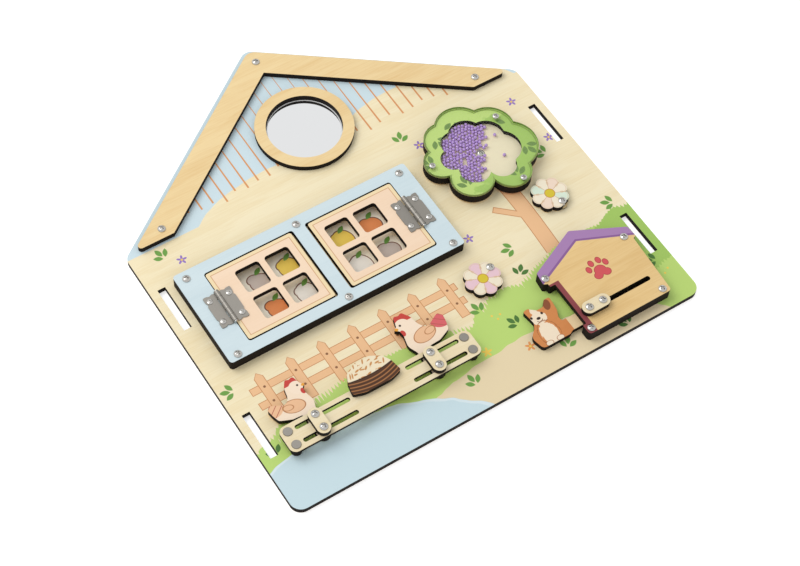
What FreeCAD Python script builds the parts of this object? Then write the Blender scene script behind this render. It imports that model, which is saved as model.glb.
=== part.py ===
import FreeCAD, Part
import math
import os

# Wooden busy board shaped like a house, lying face up on a table.
# Millimetres. X runs across the board, Y from its bottom edge to its gable, Z out of its face.
# Places on the board are measured from its centre line and its bottom edge, heights from its underside.

doc = FreeCAD.newDocument("BusyBoard")
sheet = doc.addObject("Spreadsheet::Sheet", "Sizes")

# Driving dimensions
SIZES = {
    # Stock and fits
    "ply": 5.5, "thin_ply": 3.0, "toy_ply": 5.0, "fit_gap": 0.3, "hole_clearance": 0.05,
    # House-shaped base board
    "board_width": 400.0, "board_height": 421.3, "wall_height": 279.0, "board_corner": 10.0,
    "apex_round": 10.0, "strap_slot_width": 7.3, "strap_slot_length": 45.6, "strap_slot_x": 189.0,
    "strap_slot_low_y": 75.0, "strap_slot_high_y": 214.6,
    # Screws
    "screw_shank": 2.0, "screw_head": 3.5, "screw_head_height": 2.2, "screw_tip_cover": 1.0,
    "small_shank": 1.5, "small_head": 2.9, "small_head_height": 1.8,
    # Roof trim
    "trim_margin": 5.0, "trim_band": 23.0, "trim_foot_drop": 1.0, "trim_corner": 3.0,
    "trim_screw_rise": 9.0,
    # Round mirror, sized and placed by the height of the gable
    "ring_place_share": 0.277, "ring_size_share": 0.312, "ring_band": 10.2, "ring_lap": 3.6,
    "ring_y": "=wall_height + (board_height - wall_height) * ring_place_share",
    "ring_outer": "=(board_height - wall_height) * ring_size_share",
    "ring_inner": "=ring_outer - ring_band", "mirror_radius": "=ring_inner + ring_lap",
    "mirror_thickness": 3.0, "mirror_clearance": 0.2,
    # Window frame and its two doors
    "frame_right": 50.7, "frame_bottom": 138.4, "frame_height": 98.0,
    "frame_corner": 3.0, "opening_width": 86.2, "opening_height": 76.4, "opening_corner": 2.5,
    "opening_side": 23.5, "opening_far_side": 21.3, "opening_foot": 10.6, "opening_bar": 12.0,
    "frame_width": "=opening_side + 2 * opening_width + opening_bar + opening_far_side",
    "frame_left": "=frame_right - frame_width", "frame_ledge": 3.0,
    "frame_screw_inset": 9.3, "frame_screw_foot": 5.0, "frame_screw_drop": 7.8,
    "frame_screw_left": "=frame_left + frame_screw_inset",
    "frame_screw_mid": "=frame_left + opening_side + opening_width + opening_bar / 2",
    "frame_screw_right": "=frame_right - frame_screw_inset",
    "frame_screw_low": "=frame_bottom + frame_screw_foot",
    "frame_screw_high": "=frame_bottom + frame_height - frame_screw_drop",
    "hinge_gap": 0.8, "door_free_gap": 2.4, "door_gap": 1.4, "door_thickness": 5.2,
    "door_corner": 2.0, "door_width": "=opening_width - hinge_gap - door_free_gap",
    "door_height": "=opening_height - 2 * door_gap",
    "pane_corner": 3.0, "pane_bar": 5.6, "pane_margin": 9.6, "pane_hinge_margin": 22.0,
    "pane_top_margin": 10.0,
    "pane_width": "=(door_width - pane_margin - pane_hinge_margin - pane_bar) / 2",
    "pane_height": "=(door_height - pane_margin - pane_top_margin - pane_bar) / 2",
    # Door hinges
    "leaf_height": 33.4, "leaf_reach": 12.85, "leaf_thickness": 0.9, "leaf_wave": 1.0,
    "knuckle_radius": 2.35, "knuckle_gap": 0.2, "pin_radius": 1.0, "pin_overhang": 1.2,
    "hinge_screw_x": 9.0, "hinge_screw_y": 11.0, "hinge_screw_shank": 1.2,
    "hinge_screw_head": 2.6, "hinge_screw_head_height": 1.2, "hinge_screw_length": 4.9,
    # Tree crown with loose beads
    "crown_x": 117.5, "crown_y": 213.5, "crown_core": 25.0, "crown_cavity_share": 0.72,
    "crown_cover_thickness": 3.0, "crown_spacer_radius": 9.0, "crown_spacer_height": 2.0,
    "crown_screw_top_dx": 30.2, "crown_screw_top_dy": 22.0, "crown_screw_foot_dx": 13.4,
    "crown_screw_foot_dy": -46.0, "crown_screw_left_dx": -47.8, "crown_screw_left_dy": 5.5,
    "pivot_shank": 2.5, "pivot_clearance": 0.08,
    "pivot_head": 3.5, "pivot_head_height": 2.0, "bead_radius": 1.55, "bead_gap": 0.3,
    "bead_edge": 3.0, "bead_ragged": 3.0, "bead_stray": 21.0,
    "pivot_nut": 5.0, "pivot_nut_height": 2.5, "nut_floor": 0.5,
    # Two flowers that swivel aside
    "white_x": 144.5, "white_y": 146.0, "white_pivot_dx": 4.8, "white_pivot_dy": -12.2,
    "pink_x": 45.2, "pink_y": 103.0, "pink_pivot_dx": 11.6, "pink_pivot_dy": 6.3,
    "petal_ring": 11.0, "petal_radius": 5.9, "flower_core": 11.5,
    "flower_spacer_radius": 5.0, "flower_spacer_height": 1.0,
    # Raised rail with two pairs of slots and a nest
    "rail_left": -178.1, "rail_bottom": 41.3, "rail_width": 182.1, "rail_height": 25.6,
    "rail_corner": 6.0, "rail_lift": 7.5, "rail_post_inset": 6.7, "rail_line_low": 47.6,
    "rail_line_high": 60.9, "post_head": 4.1, "post_head_height": 0.9, "post_shank": 2.0,
    "standoff_radius": 4.8, "rail_slot_width": 4.0, "rail_slot_length": 51.6,
    "rail_slot_round": 1.98,
    "left_slot_x": -139.0, "right_slot_x": -34.1, "nest_thickness": 4.5, "nest_width": 46.0,
    "nest_offset": -0.8, "nest_seat": 15.6,
    # Hens and their handles
    "left_hen_x": -146.0, "right_hen_x": -36.0, "right_hen_scale": 1.12,
    "handle_width": 12.0, "handle_round": 5.98, "handle_thickness": 5.0, "bush_radius": 1.9,
    "nut_radius": 2.75, "nut_height": 2.0,
    # Kennel and its sliding dog
    "kennel_wall": 9.0, "kennel_corner": 3.0, "kennel_left": 83.0, "kennel_right": 176.4,
    "kennel_foot_right": 172.6, "kennel_foot": 8.8,
    "kennel_eave_right": 179.6, "kennel_eave_low": 69.0, "kennel_eave_high": 80.0,
    "kennel_apex_x": 132.6, "kennel_apex_y": 102.6, "notch_x": 91.6, "notch_low": 19.0,
    "notch_high": 64.0, "kennel_slot_left": 98.4, "kennel_slot_right": 164.4,
    "kennel_slot_y": 28.4, "kennel_slot_width": 4.5, "kennel_slot_round": 2.2, "dog_left": 47.0, "dog_foot": 20.2, "dog_height": 39.0,
    "dog_arm_width": 12.4, "dog_screw_x": 100.8, "dog_screw_pitch": 13.8,
    "dog_bush_radius": 2.1, "dog_handle_end": 6.4,
    "kennel_screw_left": 87.6, "kennel_screw_right": 170.0, "kennel_screw_high": 73.0,
    "kennel_screw_foot_left": 92.7, "kennel_screw_foot_right": 166.6, "kennel_screw_low": 13.4,
}
for row, (alias, value) in enumerate(SIZES.items(), start=1):
    sheet.set("A%d" % row, alias.replace("_", " "))
    sheet.set("B%d" % row, str(value))
    sheet.setAlias("B%d" % row, alias)
doc.recompute()

# Lobes of the tree crown: offset from its pivot, and radius
CROWN_LOBES = [
    (-3.5, 27.5, 23.4), (18.1, 14.6, 23.2), (24.0, -9.7, 25.4), (9.8, -32.2, 18.6),
    (-23.7, -21.9, 19.8), (-37.6, 5.2, 16.4), (-22.2, 23.6, 19.2),
]


def size(alias):
    return float(sheet.get(alias))


def named(text):
    """Turn words such as 'ply + fit_gap' into an expression on the sheet."""
    words = sorted(SIZES, key=len, reverse=True)
    out = ""
    place = 0
    while place < len(text):
        word = next((w for w in words if text.startswith(w, place)), None)
        if word and not (out and (out[-1].isalnum() or out[-1] == "_")):
            out += "Sizes." + word
            place += len(word)
        else:
            out += text[place]
            place += 1
    return out


def onBoard(y):
    return "(%s) - board_height / 2" % y


def bind(thing, **sizes):
    for prop, text in sizes.items():
        thing.setExpression(prop, named(text))
    return thing


def putAt(thing, x="0", y="0", z="0"):
    for axis, text in zip("xyz", (x, onBoard(y), z)):
        thing.setExpression("Placement.Base." + axis, named(text))
    return thing


def cylinder(label, radius, height, x, y, z):
    thing = doc.addObject("Part::Cylinder", label)
    bind(thing, Radius=radius, Height=height)
    return putAt(thing, x, y, z)


def block(label, length, width, height, x, y, z):
    """A box whose lowest corner is at x, y, z."""
    thing = doc.addObject("Part::Box", label)
    bind(thing, Length=length, Width=width, Height=height)
    return putAt(thing, x, y, z)


def roundedBlock(label, length, width, height, radius, x, y, z):
    """A box with its four upright edges rounded."""
    blank = block(label + "_blank", length, width, height, x, y, z)
    thing = doc.addObject("Part::Fillet", label)
    thing.Base = blank
    doc.recompute()
    upright = [i + 1 for i, e in enumerate(blank.Shape.Edges)
               if abs(e.tangentAt(e.FirstParameter).z) > 0.9]
    thing.Edges = [(i, size(radius), size(radius)) for i in upright]
    return thing


def fuse(label, things):
    thing = doc.addObject("Part::MultiFuse", label)
    thing.Shapes = things
    thing.Refine = True
    return thing


def cut(label, base, tools):
    thing = doc.addObject("Part::Cut", label)
    thing.Base = base
    thing.Tool = tools[0] if len(tools) == 1 else fuse(label + "_tools", tools)
    return thing


def roundedWire(corners):
    """A closed wire through corners (x, y, radius), with a tangent arc at each radius."""
    points = [FreeCAD.Vector(c[0], c[1], 0) for c in corners]
    stretches = []
    for i, corner in enumerate(points):
        radius = corners[i][2]
        back = (points[i - 1] - corner).normalize()
        ahead = (points[(i + 1) % len(points)] - corner).normalize()
        half = back.getAngle(ahead) / 2
        if radius <= 0 or half > 1.55:
            stretches.append((corner, corner, corner))
            continue
        reach = radius / math.tan(half)
        middle = (back + ahead).normalize()
        crest = corner + middle * (radius / math.sin(half) - radius)
        stretches.append((corner + back * reach, crest, corner + ahead * reach))
    edges = []
    for i, (start, crest, end) in enumerate(stretches):
        if (end - start).Length > 1e-6:
            edges.append(Part.Arc(start, crest, end).toShape())
        following = stretches[(i + 1) % len(stretches)][0]
        if (following - end).Length > 1e-6:
            edges.append(Part.LineSegment(end, following).toShape())
    return Part.Wire(edges)


def sawn(label, corners, thickness, z, x="0", y="0"):
    """A piece sawn from sheet: its rounded outline, extruded by its thickness."""
    outline = doc.addObject("Part::Feature", label + "_outline")
    outline.Shape = Part.Face(roundedWire(corners))
    putAt(outline, x, y, z)
    thing = doc.addObject("Part::Extrusion", label)
    thing.Base = outline
    thing.DirMode = "Custom"
    thing.Dir = FreeCAD.Vector(0, 0, 1)
    thing.Solid = True
    return bind(thing, LengthFwd=thickness)


def turnedScrew(head, headHeight, shank, length, flat=False):
    """Head on z = 0 with its shank below; the head is a low dome, or flat with a small chamfer."""
    crown = headHeight * 0.35
    points = [FreeCAD.Vector(*p) for p in (
        (0, 0, -length), (shank, 0, -length), (shank, 0, 0), (head, 0, 0))]
    rim = FreeCAD.Vector(head, 0, crown)
    top = FreeCAD.Vector(0, 0, headHeight)
    edges = [Part.LineSegment(a, b).toShape() for a, b in zip(points, points[1:] + [rim])]
    if flat:
        shoulder = FreeCAD.Vector(head - crown, 0, headHeight)
        edges.append(Part.LineSegment(rim, shoulder).toShape())
        edges.append(Part.LineSegment(shoulder, top).toShape())
    else:
        rise = headHeight - crown
        sphere = (head ** 2 + rise ** 2) / (2 * rise)
        turn = math.asin(head / sphere) / 2
        middle = FreeCAD.Vector(sphere * math.sin(turn), 0,
                                headHeight - sphere + sphere * math.cos(turn))
        edges.append(Part.Arc(rim, middle, top).toShape())
    edges.append(Part.LineSegment(top, points[0]).toShape())
    return Part.Face(Part.Wire(edges)).revolve(FreeCAD.Vector(), FreeCAD.Vector(0, 0, 1), 360)


def drills(label, radius, height, places, z):
    """Upright cylinders for holes, one at each named x, y place."""
    return [cylinder("%s_%d" % (label, i), radius, height, x, y, z)
            for i, (x, y) in enumerate(places)]


def group(label, solid, drilled, z):
    """Identical pieces in one node, one in each drilled hole, with their origin at height z."""
    doc.recompute()
    copies = []
    for hole in drilled:
        copy = solid.copy()
        copy.translate(FreeCAD.Vector(hole.Placement.Base.x, hole.Placement.Base.y, z))
        copies.append(copy)
    thing = doc.addObject("Part::Feature", label)
    thing.Shape = Part.makeCompound(copies) if len(copies) > 1 else copies[0]
    return thing


nodes = []


def keep(*things):
    nodes.extend(things)
    return things[0]


face = size("ply")
screwHole = "screw_shank + hole_clearance"
smallHole = "small_shank + hole_clearance"
slope = (size("board_height") - size("wall_height")) / (size("board_width") / 2)
for _ in range(20):
    lean = math.atan(slope)
    sharpApex = size("board_height") + size("apex_round") * (1 / math.cos(lean) - 1)
    slope = (sharpApex - size("wall_height")) / (size("board_width") / 2)
steep = math.cos(lean)


# Roof trim: a chevron along both roof edges, held by three screws
def roofTrim():
    top = sharpApex - size("trim_margin") / steep
    inner = top - size("trim_band") / steep
    foot = size("wall_height") - size("trim_foot_drop")
    outerFoot = (top - foot) / slope
    innerFoot = (inner - foot) / slope
    corner = size("trim_corner")
    shape = sawn("roof_trim_blank", [
        (-outerFoot, foot, corner), (-innerFoot, foot, 0), (0, inner, 0), (innerFoot, foot, 0),
        (outerFoot, foot, corner), (0, top, size("apex_round"))], "ply", "ply")
    middle = (top + inner) / 2
    screwY = foot + size("trim_screw_rise")
    screwX = (middle - screwY) / slope
    places = [("%.4f" % x, "%.4f" % y)
              for x, y in ((-screwX, screwY), (screwX, screwY), (0, middle))]
    drilled = drills("roof_trim_hole", screwHole, "2 * ply - screw_tip_cover", places,
                     "screw_tip_cover")
    keep(cut("roof_trim", shape, drilled))
    screw = turnedScrew(size("screw_head"), size("screw_head_height"), size("screw_shank"),
                        2 * face - size("screw_tip_cover"))
    keep(group("roof_trim_screws", screw, drilled, 2 * face))
    return drilled


# Round mirror: set flush into the board on a backing disc, held by the ring over its rim
def mirror():
    hole = cylinder("mirror_hole", "mirror_radius + mirror_clearance", "ply", "0", "ring_y", "0")
    outer = cylinder("mirror_ring_blank", "ring_outer", "ply", "0", "ring_y", "ply")
    inner = cylinder("mirror_ring_bore", "ring_inner", "ply", "0", "ring_y", "ply")
    keep(cut("mirror_ring", outer, [inner]))
    keep(cylinder("mirror_backing", "mirror_radius", "ply - mirror_thickness", "0", "ring_y", "0"))
    keep(cylinder("mirror_disc", "mirror_radius", "mirror_thickness", "0", "ring_y",
                  "ply - mirror_thickness"))
    return [hole]


# Window frame in two layers; the lower one is narrower inside and is the doors' ledge
def windowFrame(hingeHoles):
    x = "frame_left"
    y = "frame_bottom"
    firstX = "frame_left + opening_side"
    openingY = "frame_bottom + opening_foot"
    places = [(c, r) for r in ("frame_screw_low", "frame_screw_high")
              for c in ("frame_screw_left", "frame_screw_mid", "frame_screw_right")]
    drilled = drills("window_frame_hole", screwHole, "3 * ply - screw_tip_cover", places,
                     "screw_tip_cover")
    for label, z, ledge in (("window_spacer", "ply", "frame_ledge"), ("window_frame", "2 * ply", "0")):
        plate = roundedBlock(label + "_plate", "frame_width", "frame_height", "ply",
                             "frame_corner", x, y, z)
        openings = []
        for side, start in (("left", firstX), ("right", firstX + " + opening_width + opening_bar")):
            openings.append(roundedBlock(
                "%s_%s_opening" % (label, side), "opening_width - 2 * (%s)" % ledge,
                "opening_height - 2 * (%s)" % ledge, "ply", "opening_corner",
                start + " + " + ledge, openingY + " + " + ledge, z))
        hinged = hingeHoles if label == "window_frame" else []
        keep(cut(label, plate, openings + drilled + hinged))
    screw = turnedScrew(size("screw_head"), size("screw_head_height"), size("screw_shank"),
                        3 * face - size("screw_tip_cover"))
    keep(group("window_frame_screws", screw, drilled, 3 * face))
    return drilled


def leafOutline(side):
    """Half of a hinge beside its pin, with waved edges; side is -1 for left and 1 for right."""
    reach = size("leaf_reach")
    tall = size("leaf_height") / 2
    wave = size("leaf_wave")
    start = size("knuckle_radius") + size("fit_gap")
    upper = [
        (reach, tall * 0.42, wave), (reach - wave, tall * 0.55, wave), (reach, tall * 0.7, wave),
        (reach, tall, wave), (reach * 0.72, tall, wave), (reach * 0.55, tall - wave, wave),
        (reach * 0.38, tall, wave), (start, tall, 0)]
    lower = [(x, -y, r) for x, y, r in reversed(upper)]
    return [(side * x, y, r) for x, y, r in lower + upper]


# One door with four panes, and its hinge: two leaves with five knuckles on one pin
def door(name, side):
    openX = "frame_left + opening_side"
    if side < 0:
        left = openX + " + hinge_gap"
        axisX = openX
        paneX = left + " + door_width - pane_margin - 2 * pane_width - pane_bar"
    else:
        left = openX + " + 2 * opening_width + opening_bar - hinge_gap - door_width"
        axisX = openX + " + 2 * opening_width + opening_bar"
        paneX = left + " + pane_margin"
    foot = "frame_bottom + opening_foot + (opening_height - door_height) / 2"
    top = "3 * ply"
    plate = roundedBlock(name + "_door_plate", "door_width", "door_height", "door_thickness",
                         "door_corner", left, foot, top + " - door_thickness")
    panes = [roundedBlock("%s_door_pane_%d%d" % (name, row, column), "pane_width", "pane_height",
                          "door_thickness", "pane_corner",
                          "%s + %d * (pane_width + pane_bar)" % (paneX, column),
                          "%s + pane_margin + %d * (pane_height + pane_bar)" % (foot, row),
                          top + " - door_thickness")
             for row in range(2) for column in range(2)]
    axisY = "frame_bottom + opening_foot + opening_height / 2"
    screwLength = "hinge_screw_length"
    drilled = {}
    for part, way in (("frame", side), ("door", -side)):
        places = [("%s + (%d) * hinge_screw_x" % (axisX, way), "%s + (%d) * hinge_screw_y" % (axisY, end))
                  for end in (-1, 1)]
        drilled[part] = drills("%s_hinge_%s_hole" % (name, part), "hinge_screw_shank + hole_clearance",
                               screwLength, places, top + " + leaf_thickness - " + screwLength)
    keep(cut(name + "_door", plate, panes + drilled["door"]))
    axisZ = top + " + knuckle_radius"
    pitch = "leaf_height / 5"
    for part, way, turns in (("frame", side, (0, 2, 4)), ("door", -side, (1, 3))):
        label = "%s_hinge_%s_leaf" % (name, part)
        pieces = [sawn(label + "_plate", leafOutline(way), "leaf_thickness", top, axisX, axisY)]
        for turn in turns:
            start = "%s - leaf_height / 2 + %d * %s + knuckle_gap / 2" % (axisY, turn, pitch)
            long = pitch + " - knuckle_gap"
            knuckle = cylinder("%s_knuckle_%d" % (label, turn), "knuckle_radius", long,
                               axisX, start, axisZ)
            knuckle.Placement.Rotation = FreeCAD.Rotation(FreeCAD.Vector(1, 0, 0), -90)
            tabX = axisX if way > 0 else axisX + " - knuckle_radius - 2 * fit_gap"
            tab = block("%s_tab_%d" % (label, turn), "knuckle_radius + 2 * fit_gap", long,
                        "leaf_thickness", tabX, start, top)
            pieces.extend((knuckle, tab))
        bore = cylinder(label + "_bore", "pin_radius + hole_clearance", "leaf_height + 2 * pin_overhang",
                        axisX, axisY + " - leaf_height / 2 - pin_overhang", axisZ)
        bore.Placement.Rotation = FreeCAD.Rotation(FreeCAD.Vector(1, 0, 0), -90)
        keep(cut(label, fuse(label + "_body", pieces), [bore] + drilled[part]))
    pin = turnedScrew(size("knuckle_radius") * 0.8, size("pin_overhang"), size("pin_radius"),
                      size("leaf_height") + size("pin_overhang") / 2)
    foot = turnedScrew(size("knuckle_radius") * 0.8, size("pin_overhang"), size("pin_radius"),
                       size("pin_overhang") / 4)
    foot.rotate(FreeCAD.Vector(0, 0, 0), FreeCAD.Vector(1, 0, 0), 180)
    foot.translate(FreeCAD.Vector(0, 0, -size("leaf_height")))
    whole = pin.fuse(foot).removeSplitter()
    whole.rotate(FreeCAD.Vector(0, 0, 0), FreeCAD.Vector(1, 0, 0), -90)
    whole.translate(FreeCAD.Vector(0, size("leaf_height") / 2, 0))
    axis = cylinder(name + "_hinge_axis", "pin_radius", "1", axisX, axisY, "0")
    keep(group(name + "_hinge_pin", whole.Solids[0], [axis], 3 * face + size("knuckle_radius")))
    screw = turnedScrew(size("hinge_screw_head"), size("hinge_screw_head_height"),
                        size("hinge_screw_shank"), size("hinge_screw_length"))
    for part in ("frame", "door"):
        keep(group("%s_hinge_%s_screws" % (name, part), screw, drilled[part],
                   3 * face + size("leaf_thickness")))
    return drilled["frame"]


# Tree crown: back, wall and clear cover, with loose beads inside, turning on one bolt
def crownCloud(label, share, height, z):
    lobes = [cylinder(label + "_core", "crown_core * " + share, height, "crown_x", "crown_y", z)]
    for i, (dx, dy, radius) in enumerate(CROWN_LOBES):
        lobes.append(cylinder("%s_lobe_%d" % (label, i), "%s * %s" % (radius, share), height,
                              "crown_x + (%s) * %s" % (dx, share),
                              "crown_y + (%s) * %s" % (dy, share), z))
    return fuse(label, lobes)


def crown():
    bottom = "ply + crown_spacer_height"
    chamber = bottom + " + thin_ply"
    lid = chamber + " + ply"
    tall = "thin_ply + ply + crown_cover_thickness"
    bore = cylinder("crown_pivot_bore", "pivot_shank + pivot_clearance", "thin_ply",
                    "crown_x", "crown_y", bottom)
    places = [("crown_x + crown_screw_%s_dx" % spot, "crown_y + crown_screw_%s_dy" % spot)
              for spot in ("top", "foot", "left")]
    drilled = drills("crown_screw_hole", smallHole, tall, places, bottom)
    back = crownCloud("crown_back_cloud", "1", "thin_ply", bottom)
    keep(cut("crown_back", back, [bore] + drilled))
    wall = crownCloud("crown_wall_cloud", "1", "ply", chamber)
    cavity = crownCloud("crown_wall_cavity", "crown_cavity_share", "ply", chamber)
    keep(cut("crown_wall", wall, [cavity] + drilled))
    cover = crownCloud("crown_cover_cloud", "1", "crown_cover_thickness", lid)
    keep(cut("crown_cover", cover, drilled))
    screw = turnedScrew(size("small_head"), size("small_head_height"), size("small_shank"),
                        size("thin_ply") + face + size("crown_cover_thickness")
                        - size("screw_tip_cover"))
    keep(group("crown_screws", screw, drilled,
               face + size("crown_spacer_height") + size("thin_ply") + face
               + size("crown_cover_thickness")))
    keep(beads())


def beads():
    """One layer of loose beads against the gable side of the chamber, and a few strays."""
    radius = size("bead_radius")
    gap = size("bead_gap")
    pitch = 2 * radius + gap
    shift = gap * 0.45
    share = size("crown_cavity_share")
    floor = face + size("crown_spacer_height") + size("thin_ply")
    rooms = [(0, 0, size("crown_core"))] + CROWN_LOBES
    rows = int(2 * size("crown_core") / pitch)
    places = []
    for row in range(-rows, rows + 1):
        ragged = size("bead_edge") + size("bead_ragged") * math.sin(1.9 * row)
        for step in range(-rows, rows + 1):
            x = (step + 0.5 * (row % 2)) * pitch + shift * math.sin(2.3 * row + 4.1 * step)
            y = row * pitch * math.sqrt(3) / 2
            if 0.8 * x - 0.6 * y < ragged:
                places.append((x, y))
    reach = size("bead_stray")
    places.extend(((reach, 0.45 * reach), (0.6 * reach, 0.9 * reach), (0.8 * reach, -0.6 * reach)))
    ball = Part.makeSphere(radius)
    balls = []
    for x, y in places:
        clear = math.hypot(x, y) > size("pivot_head") + radius + gap
        inside = any(math.hypot(x - dx * share, y - dy * share) < r * share - radius - gap
                     for dx, dy, r in rooms)
        if clear and inside:
            copy = ball.copy()
            copy.translate(FreeCAD.Vector(size("crown_x") + x,
                                          size("crown_y") + y - size("board_height") / 2,
                                          floor + radius + size("hole_clearance")))
            balls.append(copy)
    thing = doc.addObject("Part::Feature", "crown_beads")
    thing.Shape = Part.makeCompound(balls)
    print(len(balls), "beads")
    return thing


# A bolt through a turning piece, a spacer under it and a nut sunk in the board's underside
def pivot(name, x, y, spacerRadius, spacerHeight, thickness):
    drilled = drills(name + "_pivot_hole", "pivot_shank + hole_clearance", "ply", [(x, y)], "0")
    spacer = cylinder(name + "_spacer_blank", spacerRadius, spacerHeight, x, y, "ply")
    bore = cylinder(name + "_spacer_bore", "pivot_shank + pivot_clearance", spacerHeight, x, y, "ply")
    keep(cut(name + "_spacer", spacer, [bore]))
    rest = face + size(spacerHeight) + thickness + size("hole_clearance")
    bolt = turnedScrew(size("pivot_head"), size("pivot_head_height"), size("pivot_shank"),
                       rest - size("nut_floor"))
    keep(group(name + "_pivot_bolt", bolt, drilled, rest))
    sunk = cylinder(name + "_nut_seat", "pivot_nut + hole_clearance", "pivot_nut_height", x, y, "0")
    return drilled + [sunk]


def pivotNuts(drilled):
    nut = Part.makeCylinder(size("pivot_nut"), size("pivot_nut_height"))
    thread = Part.makeCylinder(size("pivot_shank") + size("hole_clearance"), size("pivot_nut_height"))
    keep(group("pivot_nuts", nut.cut(thread), drilled, 0))


# A flower of eight petals that swivels about a bolt near its edge
def flower(name):
    x = name + "_x"
    y = name + "_y"
    bottom = "ply + flower_spacer_height"
    petals = [cylinder(name + "_flower_core", "flower_core", "toy_ply", x, y, bottom)]
    for i in range(8):
        turn = math.radians(45 * i)
        petals.append(cylinder("%s_petal_%d" % (name, i), "petal_radius", "toy_ply",
                               "%s + (%.5f) * petal_ring" % (x, math.cos(turn)),
                               "%s + (%.5f) * petal_ring" % (y, math.sin(turn)), bottom))
    pivotX = "%s + %s_pivot_dx" % (x, name)
    pivotY = "%s + %s_pivot_dy" % (y, name)
    bore = cylinder(name + "_flower_bore", "pivot_shank + pivot_clearance", "toy_ply",
                    pivotX, pivotY, bottom)
    keep(cut(name + "_flower", fuse(name + "_flower_blank", petals), [bore]))
    return pivot(name + "_flower", pivotX, pivotY, "flower_spacer_radius",
                 "flower_spacer_height", size("toy_ply"))


# Raised rail with two pairs of slots, on four standoffs, and the nest glued on its middle
def rail():
    plate = roundedBlock("rail_plate_blank", "rail_width", "rail_height", "thin_ply",
                         "rail_corner", "rail_left", "rail_bottom", "ply + rail_lift")
    places = [(x, y) for x in ("rail_left + rail_post_inset",
                               "rail_left + rail_width - rail_post_inset")
              for y in ("rail_line_low", "rail_line_high")]
    drilled = drills("rail_post_hole", "post_shank + hole_clearance",
                     "ply + rail_lift + thin_ply - screw_tip_cover", places, "screw_tip_cover")
    slots = [roundedBlock("rail_slot_%s_%s" % (x, y), "rail_slot_length", "rail_slot_width",
                          "thin_ply", "rail_slot_round", "%s - rail_slot_length / 2" % x,
                          "%s - rail_slot_width / 2" % y, "ply + rail_lift")
             for x in ("left_slot_x", "right_slot_x")
             for y in ("rail_line_low", "rail_line_high")]
    keep(cut("rail_plate", plate, slots + drilled))
    stacks = drills("rail_standoff_blank", "standoff_radius", "rail_lift", places, "ply")
    keep(cut("rail_standoffs", fuse("rail_standoff_stacks", stacks), drilled))
    top = face + size("rail_lift") + size("thin_ply")
    post = turnedScrew(size("post_head"), size("post_head_height"), size("post_shank"),
                       top - size("screw_tip_cover"), flat=True)
    keep(group("rail_posts", post, drilled, top))
    middle = size("rail_left") + size("rail_width") / 2 + size("nest_offset")
    seat = size("rail_bottom") + size("nest_seat")
    part = size("nest_width") / 46
    rightHalf = [(12, 0, 18), (23, 3.4, 2), (21, 14.4, 2), (17, 22.4, 5), (7, 27.9, 7)]
    leftHalf = [(-x, y, r) for x, y, r in reversed(rightHalf)]
    keep(sawn("nest", [(middle + x * part, seat + y * part, r * part)
                       for x, y, r in rightHalf + leftHalf],
              "nest_thickness", "ply + rail_lift + thin_ply"))
    return drilled


def henOutline(side, scale):
    """A hen seen from the side above its narrow foot; side is the way its beak points."""
    half = size("handle_width") / 2
    foot = size("rail_line_low") - size("rail_line_high") - half
    leg = [(-half, foot, half - 0.02), (half, foot, half - 0.02)]
    body = [
        (half, 8.5, 2), (8.6, 16, 9), (6.2, 26, 5), (6.9, 30.6, 1), (10.4, 32.6, 1),
        (6.9, 35.0, 1.2), (5.6, 39.6, 2.5), (4.6, 43.4, 1.7), (0.6, 42.2, 1), (-2.6, 43.6, 1.7),
        (-6.6, 37.5, 4), (-8.4, 29, 6), (-12.5, 22.5, 5), (-21.5, 27.5, 3), (-25.4, 29.5, 2),
        (-28.4, 26, 2), (-27.4, 20, 2), (-25.5, 13.5, 4), (-15, 9, 6), (-half, 8.5, 2)]
    points = leg + [(x * scale if abs(x) != half else x, y * scale, r) for x, y, r in body]
    return [(side * x, y, r) for x, y, r in (points if side > 0 else reversed(points))]


# A hen that slides along the rail: hen below it, handle above, joined by two bushed screws
def hen(name, side, scale):
    x = name + "_x"
    low = "ply + fit_gap / 2 + nut_height"
    places = [(x, "rail_line_low"), (x, "rail_line_high")]
    drilled = drills(name + "_hole", smallHole, "4 * ply", places, "ply")
    body = sawn(name + "_blank", henOutline(side, scale), "toy_ply", low, x, "rail_line_high")
    keep(cut(name, body, drilled))
    above = "ply + rail_lift + thin_ply + fit_gap"
    grip = roundedBlock(name + "_handle_blank", "handle_width",
                        "rail_line_high - rail_line_low + handle_width", "handle_thickness",
                        "handle_round", x + " - handle_width / 2",
                        "rail_line_low - handle_width / 2", above)
    keep(cut(name + "_handle", grip, drilled))
    henTop = size("ply") + size("fit_gap") / 2 + size("nut_height") + size("toy_ply")
    seat = size("ply") + size("rail_lift") + size("thin_ply") + size("fit_gap")
    screw = turnedScrew(size("screw_head"), size("screw_head_height"), size("small_shank"),
                        seat + size("handle_thickness") - face - size("fit_gap"))
    keep(group(name + "_screws", screw, drilled, seat + size("handle_thickness")))
    bore = Part.makeCylinder(size("small_shank") + size("hole_clearance"), seat)
    bush = Part.makeCylinder(size("bush_radius"), seat - henTop).cut(bore)
    keep(group(name + "_bushes", bush, drilled, henTop))
    nut = Part.Face(Part.makePolygon([FreeCAD.Vector(size("nut_radius") * math.cos(math.radians(a)),
                                                     size("nut_radius") * math.sin(math.radians(a)), 0)
                                      for a in range(0, 361, 60)]))
    nut = nut.extrude(FreeCAD.Vector(0, 0, size("nut_height"))).cut(bore)
    keep(group(name + "_nuts", nut, drilled, face + size("fit_gap") / 2))


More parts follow.
